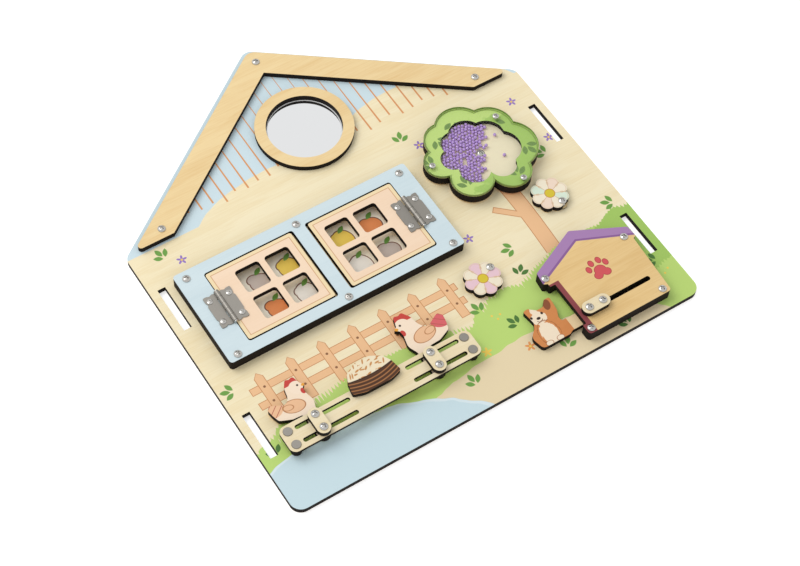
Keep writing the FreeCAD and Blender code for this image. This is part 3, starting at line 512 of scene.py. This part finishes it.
def nestPrint():
    # one slanted grain of straw in each cell; the basket's bands bend with the square of the width
    n = nestSizes
    nest = Finish("straw nest print")
    nest.grain(*n["pale"], n["figure"])
    spot = nest.add("ShaderNodeTexVoronoi", {"feature": "F1"}, {
        "Vector": nest.flat, "Scale": n["strawScale"], "Randomness": n["strawSpread"]}, "Position")
    away = nest.vector("SUBTRACT", nest.flat, spot)
    swirl = (nest.noise(n["swirlScale"], 0, spot) - 0.5) * n["swirl"]
    wayX, wayY = n["strawWay"]
    lean = nest.along(away, (wayX, wayY, 0))
    turned = nest.along(away, (-wayY, wayX, 0)) - lean * swirl
    straw = lean * lean / n["strawLong"] + turned * turned / n["strawWide"] - 1
    nest.lay((straw * 0.6).fill(0.4), ink(n["straw"]))
    wide = nest.x - n["middle"]
    basket = nest.y - n["basketTop"] - wide * wide * n["basketBend"]
    nest.lay(basket.fill(), ink(n["basket"]))
    pitch = n["bandPitch"]
    bands = (nest.y - wide * wide * n["bandBend"] - n["bandFoot"]) % pitch - pitch / 2
    nest.lay((basket + n["bandIn"] | abs(bands) - n["bandHalf"]).fill(0.4), ink(n["band"]))
    nest.lay(basket.line(n["highlightRingWide"]), ink(n["rim"]))
    return nest.close()


dress(nestPrint(), "nest")

# Hens: plain printed birds, seen from the side; places are from the line of the slots
hens = {  # middle, side it looks to, scale, tail
    "left_hen": (-146, 1, 1.0, "EDBE95"),
    "right_hen": (-36, -1, 1.12, "D9656A"),
}
henSizes = {
    "line": 60.9, "pale": ("F8E3CB", "F1D8B8"), "figure": 0.6, "quill": "B05A4C",
    "wing": "EDBE95", "wingLine": "B67A4E", "wingLineWide": 0.6, "featherLineWide": 0.5,
    "comb": "C8453E", "combTop": 11.1, "combRise": 26, "beak": "E8A23C", "eye": "3A2A22",
    "quillStart": (-12, 14), "quillTurn": 38, "quillPitch": 4.4, "quillHalf": 0.3,
    # forward, up, half length, half height, turn; or forward, up, radius
    "tailPlace": (-25, 25, 9, 8), "wingPlace": (-8, 19, 9.5, 6, -12),
    "featherPlace": (-13, 20, 4.5, 2.6, -12), "facePlace": (2.2, 33, 6.2),
    "wattlePlace": (5.6, 27.6, 2.0, 2.8), "beakPlace": (9.4, 32.6, 2.8, 1.6),
    "eyePlace": (4.0, 34.4, 0.95),
}


def henPrint(name, x, side, scale, tailInk):
    h = henSizes
    hen = Finish(name.replace("_", " ") + " print")
    hen.grain(*h["pale"], h["figure"])

    def spot(key):
        # an oval or a disc, placed and sized for this hen
        dx, dy, wide, *rest = h[key]
        place = (x + side * dx * scale, h["line"] + dy * scale, wide * scale)
        if not rest:
            return hen.disc(*place)
        return hen.oval(*place, rest[0] * scale, sum(rest[1:]) * side)

    tail = spot("tailPlace")
    hen.lay(tail.fill(), ink(tailInk))
    dx, dy = h["quillStart"]
    pitch = h["quillPitch"] * scale
    rise = hen.axes(x + side * dx * scale, h["line"] + dy * scale, h["quillTurn"] * side)[1]
    quill = abs(rise % pitch - pitch / 2) - h["quillHalf"]
    hen.lay((quill | tail).fill(), ink(h["quill"]))
    wing = spot("wingPlace")
    hen.lay(wing.fill(), ink(h["wing"]))
    hen.lay(wing.line(h["wingLineWide"]), ink(h["wingLine"]))
    hen.lay(spot("featherPlace").line(h["featherLineWide"]), ink(h["wingLine"]))
    combFoot = h["line"] + h["combTop"] + h["combRise"] * scale
    hen.lay((combFoot - hen.y).fill(0.3), ink(h["comb"]))
    hen.lay(spot("facePlace").fill(), ink(h["pale"][0]))
    for key, part in (("comb", "wattlePlace"), ("beak", "beakPlace"), ("eye", "eyePlace")):
        hen.lay(spot(part).fill(), ink(h[key]))
    return hen.close()


for name, hen in hens.items():
    dress(henPrint(name, *hen), name)

# Dog: a plain sitting puppy with a pale front
dogSizes = {"middle": 63, "coat": ("D48A50", "C67C44"), "figure": 0.6, "pale": "F5E3C8",
            "line": "A8643A", "lineWide": 0.5, "pawLineWide": 0.4, "ears": "8C5233",
            "dark": "2E1F19", "mouth": "6B4030", "arm": "E9CFA2", "armStart": 82.5,
            "patches": ((30, 7.5, 11), (46.5, 7.5, 6), (53, 2.6, 6)),
            "furScale": 0.5, "furStretch": (1, 0.4, 1), "fur": 3, "bib": (30, 9.5, 13),
            "ear": (13.5, 54, 3.2, 5.2, -20), "eye": (5.2, 49.4, 1.1, 1.3),
            "paw": (5.4, 21.8, 3.4, 2.4), "nose": (46.4, 1.9, 1.3), "smile": (44.6, 2.4, 1.8)}


def dogPrint():
    d = dogSizes
    middle = d["middle"]
    dog = Finish("puppy print")
    dog.grain(*d["coat"], d["figure"])
    fur = (dog.noise(d["furScale"], 2, stretch=d["furStretch"]) - 0.5) * d["fur"]
    for y, wide, tall in d["patches"]:
        dog.gather("pale", dog.oval(middle, y, wide, tall))
    dog.lay((dog.groups["pale"] + fur).fill(), ink(d["pale"]))
    dog.lay((dog.oval(middle, *d["bib"]) + fur).line(d["lineWide"]), ink(d["line"]))
    for side in (-1, 1):
        out, y, wide, tall, turn = d["ear"]
        dog.lay(dog.oval(middle + side * out, y, wide, tall, side * turn).fill(), ink(d["ears"]))
        for key, part in (("dark", "eye"), ("paws", "paw")):
            out, *place = d[part]
            dog.gather(key, dog.oval(middle + side * out, *place))
    dog.gather("dark", dog.oval(middle, *d["nose"]))
    dog.layGroup("paws", d["pale"], d["line"], d["pawLineWide"])
    dog.layGroup("dark", d["dark"])
    smile = dog.oval(middle, *d["smile"]).line(d["lineWide"])
    dog.lay(smile & (dog.y - d["smile"][0]).fill(), ink(d["mouth"]))
    dog.lay((d["armStart"] - dog.x).fill(), ink(d["arm"]))
    return dog.close()


dress(dogPrint(), "dog")

# Kennel front: bare panel with a printed purple roof, a dark strip and a paw
kennelSizes = {"panel": ("ECCB90", "D8AF6E"), "roof": "A982B4", "roofEdge": "8C6299",
               "ridge": (132.4, 90.6), "slope": 0.437, "strip": "8C4448",
               "stripCorner": (96.1, 66), "paw": "D4575C", "pawLine": "A63E42",
               "pawLineWide": 0.5, "pad": (132.8, 56.0, 5.4, 5.0), "heels": (128.6, 137.0),
               "heel": (52.2, 3.9, 3.5), "toe": (2.4, 3.1), "roofLine": 2.2,
               "toes": ((124.3, 60.8), (129.4, 65.3), (136.9, 65.3), (141.4, 60.8))}


def kennelPrint():
    k = kennelSizes
    panel = Finish("kennel print")
    panel.grain(*k["panel"])
    x, y = k["ridge"]
    roofLine = y - abs(panel.x - x) * k["slope"] - panel.y
    panel.lay(roofLine.fill(), ink(k["roof"]))
    panel.lay((roofLine + k["roofLine"] / 2).line(k["roofLine"]), ink(k["roofEdge"]))
    x, y = k["stripCorner"]
    panel.lay((panel.x - x | panel.y - y).fill(), ink(k["strip"]))
    panel.gather("paw", panel.oval(*k["pad"]))
    for x in k["heels"]:
        panel.gather("paw", panel.oval(x, *k["heel"]))
    for x, y in k["toes"]:
        panel.gather("paw", panel.oval(x, y, *k["toe"]))
    panel.layGroup("paw", k["paw"], k["pawLine"], k["pawLineWide"])
    return panel.close()


dress(kennelPrint(), "kennel_front")
print("prints done")

# Mirror: silvered face with a painted highlight, a thin white ring just inside the wooden ring
mirrorSizes = {"y": 318.4, "rim": 33.3, "highlightRingWide": 0.9, "silver": "E4E5E6", "rimHighlightInk": "F4F4F2",
               "roughness": 0.02}
mirror = Finish("mirror", Roughness=mirrorSizes["roughness"])
# painted highlight: a thin white ring, not metallic, along the mirror's edge
rim = mirror.disc(0, mirrorSizes["y"], mirrorSizes["rim"]).line(mirrorSizes["highlightRingWide"], 0.3)
mirror.feed(mirror.shader, "Base Color",
            mirror.blend(ink(mirrorSizes["silver"]), ink(mirrorSizes["rimHighlightInk"]), rim))
mirror.feed(mirror.shader, "Metallic", 1 - rim)
dress(mirror.material, "mirror_disc")

# Metal: scuffed steel, bright on the screws and duller on hinges and posts; colour, roughness
metalSizes = {"bright": ("C9C7C3", 0.16), "satin": ("8E8A83", 0.4), "scuffed": "7C7974",
              "scuffScale": 0.9, "scuffPart": 0.5, "scuffRough": 0.12}


def metal(name, code, roughness):
    m = metalSizes
    finish = Finish(name, Metallic=1.0)
    scuff = finish.noise(m["scuffScale"], 3)
    worn = finish.blend(ink(code), ink(m["scuffed"]), scuff * m["scuffPart"])
    finish.feed(finish.shader, "Base Color", worn)
    finish.feed(finish.shader, "Roughness", roughness + scuff * m["scuffRough"])
    return finish.material


bright = metal("bright steel", *metalSizes["bright"])
satin = metal("satin steel", *metalSizes["satin"])
dress(satin, *[n for n in nodes if "hinge" in n and "leaf" in n], "rail_posts")
dress(bright, *[n for n in nodes if n.endswith(("_nuts", "_bushes", "_pin", "_bolt", "_screws"))])


def solidsOf(node):
    # lowest and highest corner of each separate solid in a node: triangles that share a corner
    # take the lowest label among them, until none changes
    mesh = nodes[node].data
    points = np.empty(len(mesh.vertices) * 3)
    mesh.vertices.foreach_get("co", points)
    triangles = np.empty(len(mesh.loops), int)
    mesh.loops.foreach_get("vertex_index", triangles)
    points = points.reshape(-1, 3)
    _, same = np.unique(np.round(points * 1e6).astype(int), axis=0, return_inverse=True)
    same = same.reshape(-1)
    corners = same[triangles].reshape(-1, 3)
    label = np.arange(same.max() + 1)
    while True:
        low = label[corners].min(axis=1)
        passed = label.copy()
        for k in range(3):
            np.minimum.at(passed, corners[:, k], low)
        passed = passed[passed]
        if (passed == label).all():
            break
        label = passed
    owner = label[same]
    found = [points[owner == k] for k in np.unique(owner)]
    return [(p.min(axis=0), p.max(axis=0)) for p in found]


def latheFaces(rings, around):
    # quads between the rings, and a fan to the pole after the last vertex at each end
    i, j = np.meshgrid(np.arange(rings - 1), np.arange(around), indexing="ij")
    k = (j + 1) % around
    near, far = i * around, (i + 1) * around
    quads = np.stack([near + j, near + k, far + k, far + j], -1)
    foot, head = rings * around, rings * around + 1
    j = np.arange(around)
    k = (j + 1) % around
    low = np.stack([np.full(around, foot), k, j], -1)
    top = (rings - 1) * around
    high = np.stack([np.full(around, head), top + j, top + k], -1)
    return quads.reshape(-1, 4), np.concatenate([low, high])


def meshPiece(name, points, quads, fans, material, body, replaced, sharp=40):
    mesh = bpy.data.meshes.new(name)
    mesh.from_pydata(points.tolist(), [], quads.tolist() + fans.tolist())
    mesh.materials.append(material)
    mesh.shade_smooth()
    mesh.set_sharp_from_angle(angle=math.radians(sharp))
    piece = bpy.data.objects.new(name, mesh)
    bpy.context.scene.collection.objects.link(piece)
    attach(piece, body)
    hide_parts(replaced)


# Crown: a clear sheet over loose beads, printed green on its underside; lobes are dx, dy, radius
crownSizes = {
    "x": 117.5, "y": 213.5, "core": 25.0, "window": 0.705, "lobes": (
        (-3.5, 27.5, 23.4), (18.1, 14.6, 23.2), (24.0, -9.7, 25.4), (9.8, -32.2, 18.6),
        (-23.7, -21.9, 19.8), (-37.6, 5.2, 16.4), (-22.2, 23.6, 19.2)),
    "green": "C4DE7E", "patch": "A8CA66", "leaf": "72924A", "line": "8CA552", "edge": "7F9A4C",
    "roughness": 0.3, "clear": (0.97, 0.98, 0.97, 1), "shineRough": 0.03, "gloss": 0.008,
    "glossPower": 5, "printTop": 17.5, "mottleScale": 0.06, "mottle": 60,
    "patchWay": (-0.5, 0.4), "patchShift": 4, "sprigSize": 1.4, "sprigShare": 0.5,
    "sprigTurns": (60, 140, 220), "lineIn": 1.2, "lineWide": 1.0,
    "around": 720, "lift": 0.1, "softLow": 0.15, "softHigh": 0.3,
}


def cloud(finish, share):
    # distance from the outline of the crown's lobes, shrunk by share
    c = crownSizes
    away = finish.disc(c["x"], c["y"], c["core"] * share)
    for dx, dy, radius in c["lobes"]:
        away = away & finish.disc(c["x"] + dx * share, c["y"] + dy * share, radius * share)
    return away


def leafGreen(finish):
    # pale green with darker patches, sprigs on the lobes and a line along the outline
    c = crownSizes
    finish.colour = ink(c["green"])
    wayX, wayY = c["patchWay"]
    patch = (finish.noise(c["mottleScale"], 3) - 0.5) * c["mottle"]
    patch = patch + (finish.x - c["x"] - c["patchShift"]) * wayX + (finish.y - c["y"]) * wayY
    finish.lay(patch.fill(2), ink(c["patch"]))
    for k, (dx, dy, radius) in enumerate(c["lobes"]):
        share = 1 + radius * c["sprigShare"] / math.hypot(dx, dy)
        turn = math.degrees(math.atan2(dy, dx)) + c["sprigTurns"][k % 3]
        place = (c["x"] + dx * share, c["y"] + dy * share)
        finish.gather("leaf", finish.sprig(*place, turn, c["sprigSize"]))
    finish.layGroup("leaf", c["leaf"])
    finish.lay((cloud(finish, 1) + c["lineIn"]).line(c["lineWide"]), ink(c["line"]))


def crownPrint():
    # clear on top and in the window, green on the underside and at the edge
    c = crownSizes
    cover = Finish("leaf green print", Roughness=c["roughness"])
    leafGreen(cover)
    facing = abs(cover.facing())
    cover.lay((facing - 0.5).fill(0.1), ink(c["edge"]))
    cover.feed(cover.shader, "Base Color", cover.colour)
    clear = cover.add("ShaderNodeBsdfTransparent", None, [c["clear"]])
    shine = cover.add("ShaderNodeBsdfGlossy", None,
                      {"Color": (1, 1, 1, 1), "Roughness": c["shineRough"]})
    steep = cover.add("ShaderNodeLayerWeight", None, {"Blend": 0.5}, "Facing")
    film = steep.power(c["glossPower"]) + c["gloss"]
    glass = cover.add("ShaderNodeMixShader", None, {0: film, 1: clear, 2: shine})
    top = (c["printTop"] - cover.z).fill() & (0.5 - facing).fill(0.1)
    see = cloud(cover, c["window"]).fill() | top
    whole = cover.add("ShaderNodeMixShader", None,
                      {0: see, 1: Wire(cover, cover.shader.outputs[0]), 2: glass})
    cover.feed(cover.tree.nodes["Material Output"], "Surface", whole)
    return cover.material


def crownReach(turn):
    # distance of the outline from the middle: the far side of the furthest disc in each direction
    discs = np.array([(0, 0, crownSizes["core"]), *crownSizes["lobes"]])
    along = discs[:, :2] @ np.stack([np.cos(turn), np.sin(turn)])
    aside = (discs[:, :2] ** 2).sum(1)[:, None] - along ** 2
    room = discs[:, 2:] ** 2 - aside
    return np.where(room > 0, along + np.sqrt(np.clip(room, 0, None)), 0).max(axis=0)


def coverPiece():
    # clear sheet: rings of the crown's outline, from the underside, round a softened edge, to
    # the top
    c = crownSizes
    low, high = (corner[2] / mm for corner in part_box("crown_cover"))
    low += c["lift"]
    turn = np.linspace(0, 2 * np.pi, c["around"], endpoint=False)
    reach = crownReach(turn)
    soft, softer = c["softLow"], c["softHigh"]
    profile = ((0.5, 0, low), (1, -soft, low), (1, 0, low + soft), (1, 0, high - softer),
               (1, -softer, high), (0.5, 0, high))
    rings = []
    for share, inset, z in profile:
        far = share * reach + inset
        rings.append(np.stack([far * np.cos(turn), far * np.sin(turn), np.full(len(turn), z)], -1))
    points = np.concatenate(rings + [[[0, 0, low], [0, 0, high]]])
    points = (points + np.array([c["x"], c["y"] - footY, 0])) * mm
    quads, fans = latheFaces(len(profile), len(turn))
    meshPiece("clear_cover_sheet", points, quads, fans, crownPrint(), "crown",
              "crown_cover")


coverPiece()
print("crown cover done")

# Beads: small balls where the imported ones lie
beadSizes = {"inksWithPaintedLight": ("B58CDA", "D2ADEE"), "inkScale": 0.31, "roughness": 0.18, "coat": 0.5,
             "rings": 7, "around": 12, "seed": 7, "rounds": 60, "shake": 0.5, "lift": 0.8,
             "push": 0.25, "reach": 0.45, "reachUp": 1.2}


def settled(middles, radius):
    # loose beads: shaken by a share of a radius, then pushed apart for some rounds, each within
    # bounds of its first place; less than 0.01 mm of overlap is left
    b = beadSizes
    rng = np.random.default_rng(b["seed"])
    sideways = np.array([b["shake"], b["shake"], 0])
    place = middles + rng.uniform(-1, 1, middles.shape) * radius * sideways
    place[:, 2] += rng.uniform(0, b["lift"], len(middles)) * radius
    least = np.array([-b["reach"], -b["reach"], 0]) * radius
    most = np.array([b["reach"], b["reach"], b["reachUp"]]) * radius
    itself = np.eye(len(place))
    for _ in range(b["rounds"]):
        apart = place[:, None] - place[None]
        far = np.sqrt((apart ** 2).sum(-1)) + itself
        push = np.clip(2 * radius - far, 0, None) * (1 - itself) * b["push"]
        place = place + (apart / far[..., None] * push[..., None]).sum(1)
        place = middles + np.clip(place - middles, least, most)
    return place


def beadPieces():
    # each ball is rings of a sine-cosine sphere from its foot to its head
    b = beadSizes
    # the beads' own purple, painted paler as painted light against the shade in the chamber; the
    # paler of the two inks is a painted highlight tone, mixed in at random
    gloss = Finish("purple beads with painted light", Roughness=b["roughness"], Coat_Weight=b["coat"])
    deep, pale = (ink(code) for code in b["inksWithPaintedLight"])
    gloss.feed(gloss.shader, "Base Color", gloss.blend(deep, pale, gloss.noise(b["inkScale"], 1)))
    slope = np.linspace(0, np.pi, b["rings"] + 2)[1:-1][::-1]
    turn = np.linspace(0, 2 * np.pi, b["around"], endpoint=False)
    x = np.sin(slope)[:, None] * np.cos(turn)
    y = np.sin(slope)[:, None] * np.sin(turn)
    z = np.repeat(np.cos(slope)[:, None], b["around"], 1)
    ball = np.concatenate([np.stack([x, y, z], -1).reshape(-1, 3), [[0, 0, -1], [0, 0, 1]]])
    quads, fans = latheFaces(b["rings"], b["around"])
    found = solidsOf("crown_beads")
    middles = np.array([(low + high) / 2 for low, high in found])
    radius = float((found[0][1] - found[0][0])[2]) / 2
    middles = settled(middles, radius)
    points = (ball[None] * radius + middles[:, None]).reshape(-1, 3)
    step = (np.arange(len(found)) * len(ball))[:, None, None]
    quads = (quads[None] + step).reshape(-1, 4)
    fans = (fans[None] + step).reshape(-1, 3)
    meshPiece("beads", points, quads, fans, gloss.material, "crown", "crown_beads")
    print("beads:", len(found))


# Screws: body they ride on, height of the head and radius of the shank
screws = {
    "roof_trim_screws": ("board", 2.2, 2.0), "window_frame_screws": ("board", 2.2, 2.0),
    "kennel_screws": ("board", 2.2, 2.0), "crown_screws": ("crown", 1.8, 1.5),
    "crown_pivot_bolt": ("board", 2.0, 2.5), "white_flower_pivot_bolt": ("board", 2.0, 2.5),
    "pink_flower_pivot_bolt": ("board", 2.0, 2.5), "left_hen_screws": ("left_hen", 2.2, 1.5),
    "right_hen_screws": ("right_hen", 2.2, 1.5), "dog_screws": ("dog", 2.2, 1.5),
    "left_hinge_frame_screws": ("board", 1.2, 1.2),
    "left_hinge_door_screws": ("left_door", 1.2, 1.2),
    "right_hinge_frame_screws": ("board", 1.2, 1.2),
    "right_hinge_door_screws": ("right_door", 1.2, 1.2),
}
screwSizes = {"around": 32, "pitch": 0.8, "threadStep": 0.4, "threadDeep": 0.16, "neck": 0.8,
              "neckTop": 0.6, "taperLong": 1.2, "tip": 0.35, "under": 0.97, "underHigh": 0.06,
              "rim": 0.35, "dome": (0.985, 0.05), "domeRings": 18, "recessWide": 0.17,
              "recessWall": 0.05, "recessReach": 0.62, "recessEnd": 0.06, "recessDeep": 0.5,
              "firstTurn": 0.4, "nextTurn": 0.7}


def screwShape(head, headHeight, shank, length):
    # rings from the tip to the dome: the shank's radius waves with height and angle, the dome is
    # part of a sphere, and the cross recess sinks the points that lie near either arm
    s = screwSizes
    turn = np.linspace(0, 2 * np.pi, s["around"], endpoint=False)
    heights = np.arange(-length, -s["neck"], s["threadStep"])
    taper = np.clip((heights + length) / s["taperLong"], s["tip"], 1)
    wave = 0.5 + 0.5 * np.cos(2 * np.pi * heights[:, None] / s["pitch"] + turn[None, :])
    radii = shank * (1 - s["threadDeep"] + s["threadDeep"] * wave) * taper[:, None]
    thread = np.stack([radii * np.cos(turn), radii * np.sin(turn),
                       np.repeat(heights[:, None], s["around"], 1)], -1)
    rim = s["rim"] * headHeight
    rise = headHeight - rim
    ball = (head ** 2 + rise ** 2) / (2 * rise)
    neck = [-s["neckTop"], 0, 0, s["underHigh"], rim]
    dome = np.linspace(*s["dome"], s["domeRings"])
    across = np.concatenate([[shank, shank, s["under"], 1.0, 1.0], dome])
    across[2:] *= head
    z = np.concatenate([neck, headHeight - ball + np.sqrt(ball ** 2 - across[len(neck):] ** 2)])
    x = across[:, None] * np.cos(turn)
    y = across[:, None] * np.sin(turn)
    arm = np.minimum(np.abs(x), np.abs(y)) / head
    far = across[:, None] / head
    sunk = (np.clip((s["recessWide"] - arm) / s["recessWall"], 0, 1)
            * np.clip((s["recessReach"] - far) / s["recessEnd"], 0, 1))
    sunk[:len(neck)] = 0
    z = z[:, None] - sunk * s["recessDeep"] * headHeight
    rings = np.concatenate([thread, np.stack([x, y, z], -1)])
    poles = np.array([[0, 0, -length], [0, 0, headHeight * (1 - s["recessDeep"])]])
    return rings, poles


def screwSet(node, body, headHeight, shank):
    # one piece with a screw in the place of each solid of the node, each turned differently
    s = screwSizes
    points, quads, fans = [], [], []
    start = 0
    for k, (low, high) in enumerate(solidsOf(node)):
        size = (high - low) / mm
        rings, poles = screwShape(size[0] / 2, headHeight, shank, size[2] - headHeight)
        angle = s["nextTurn"] * k + s["firstTurn"]
        spin = np.array([[math.cos(angle), math.sin(angle), 0],
                         [-math.sin(angle), math.cos(angle), 0], [0, 0, 1]])
        middle = (low + high) / 2
        seat = np.array([middle[0], middle[1], high[2] - headHeight * mm])
        solid = np.concatenate([rings.reshape(-1, 3), poles]) @ spin * mm + seat
        q, f = latheFaces(len(rings), s["around"])
        points.append(solid)
        quads.append(q + start)
        fans.append(f + start)
        start += len(solid)
    meshPiece(node + "_cut", np.concatenate(points), np.concatenate(quads), np.concatenate(fans),
              bright, body, node)


for node, (body, headHeight, shank) in screws.items():
    screwSet(node, body, headHeight, shank)
print("screws done")
beadPieces()

# Floor, light and camera
studioSizes = {
    "floorHalf": 6, "floorZ": -0.0006, "paper": (0.9, 0.9, 0.9, 1), "paperRough": 0.9,
    "floorGlow": 0.55, "world": 0.66,
    "lampSize": 1.6, "lampPower": 19, "lampPlace": (-0.7, 0.9, 1.7),
    "cameraRight": (0.84047099, -0.54036268, 0.04020812),
    "cameraUp": (0.4357949, 0.71819345, 0.5424767),
    "cameraBack": (-0.32201137, -0.43841344, 0.83910806),
    "cameraPlace": (-0.5382, -0.78465, 1.3693), "lens": 86.75, "sensor": 36, "nearest": 0.05,
}


def stand(name, data):
    thing = bpy.data.objects.new(name, data)
    bpy.context.scene.collection.objects.link(thing)
    return thing


def studio():
    s = studioSizes
    half, z = s["floorHalf"], s["floorZ"]
    floorMesh = bpy.data.meshes.new("floor")
    corners = [(-half, -half, z), (half, -half, z), (half, half, z), (-half, half, z)]
    floorMesh.from_pydata(corners, [], [(0, 1, 2, 3)])
    stand("floor", floorMesh)
    paper = Finish("white paper", Roughness=s["paperRough"])
    paper.feed(paper.shader, "Base Color", s["paper"])
    paper.feed(paper.shader, "Emission Color", (1, 1, 1, 1))
    paper.feed(paper.shader, "Emission Strength", paper.seen() * s["floorGlow"])
    floorMesh.materials.append(paper.material)
    world = bpy.data.worlds.new("studio")
    bpy.context.scene.world = world
    world.use_nodes = True
    room = Net(world.node_tree)
    background = world.node_tree.nodes["Background"]
    room.feed(background, "Color", (1, 1, 1, 1))
    room.feed(background, "Strength", room.seen() | s["world"])
    lamp = bpy.data.lights.new("softbox", "AREA")
    lamp.shape, lamp.size, lamp.energy = "DISK", s["lampSize"], s["lampPower"]
    box = stand("softbox", lamp)
    box.location = s["lampPlace"]
    box.rotation_euler = (-Vector(s["lampPlace"])).to_track_quat("-Z", "Y").to_euler()
    camera = stand("camera", bpy.data.cameras.new("camera"))
    place = Matrix((s["cameraRight"], s["cameraUp"], s["cameraBack"])).transposed().to_4x4()
    place.translation = s["cameraPlace"]
    camera.matrix_world = place
    camera.data.lens, camera.data.sensor_width = s["lens"], s["sensor"]
    camera.data.clip_start, camera.data.sensor_fit = s["nearest"], "HORIZONTAL"
    bpy.context.scene.camera = camera
    bpy.context.scene.view_settings.view_transform = "Standard"


studio()
